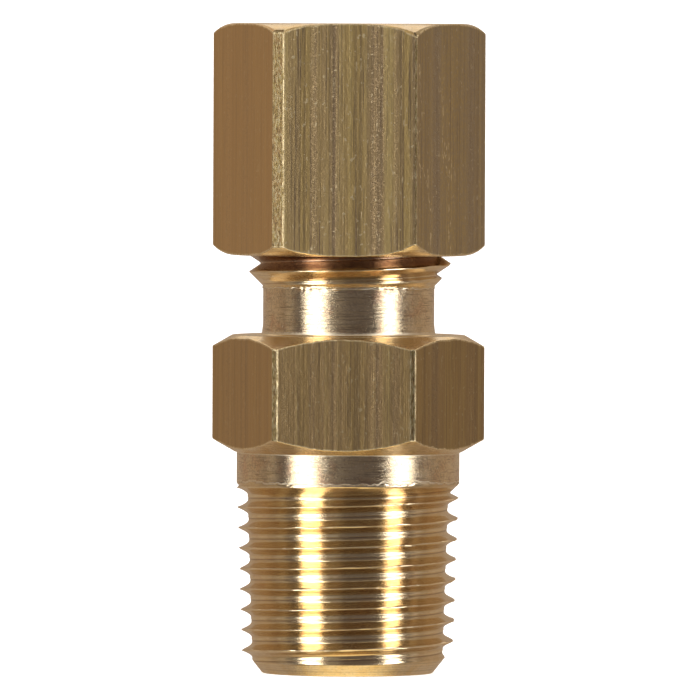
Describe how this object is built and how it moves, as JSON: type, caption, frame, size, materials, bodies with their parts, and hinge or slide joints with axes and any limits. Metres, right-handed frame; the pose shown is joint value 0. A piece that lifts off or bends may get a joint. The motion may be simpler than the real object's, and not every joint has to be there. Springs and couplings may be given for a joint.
{
  "type": "compression fitting",
  "caption": "Brass tube-to-pipe compression fitting: hex nut over a ferrule on a hex body with a taper pipe thread.",
  "frame": {"origin": "centre of the pipe end's flat face, on the fitting's axis; the fitting stands on this face", "axes": "+Z along the axis, from the pipe thread to the compression nut; -Y is the outward normal of one flat of the body's hex"},
  "size_m": [0.0126, 0.0112, 0.03],
  "materials": {
    "body_brass": "drawn hex flats, turned neck, collar and threads",
    "nut_brass": "drawn hex flats with turned chamfers",
    "ferrule_brass": "turned"
  },
  "bodies": {
    "connector": {"connector_body": "body_brass"},
    "sleeve": {"ferrule": "ferrule_brass"},
    "nut": {"compression_nut": "nut_brass"}
  },
  "joints": [
    {"name": "ferrule_slide", "type": "slide", "parent": "connector", "child": "sleeve", "axis": [0, 0, 1], "range_m": [-0.00118, 0.00424]},
    {"name": "nut_turn", "type": "hinge", "parent": "sleeve", "child": "nut", "pos_m": [0, 0, 0.02462], "axis": [0, 0, 1], "range_deg": [-450, 1620]}
  ],
  "couplings": [
    {"joint": "ferrule_slide", "follows": "nut_turn", "m_per_rad": 0.00014972}
  ]
}
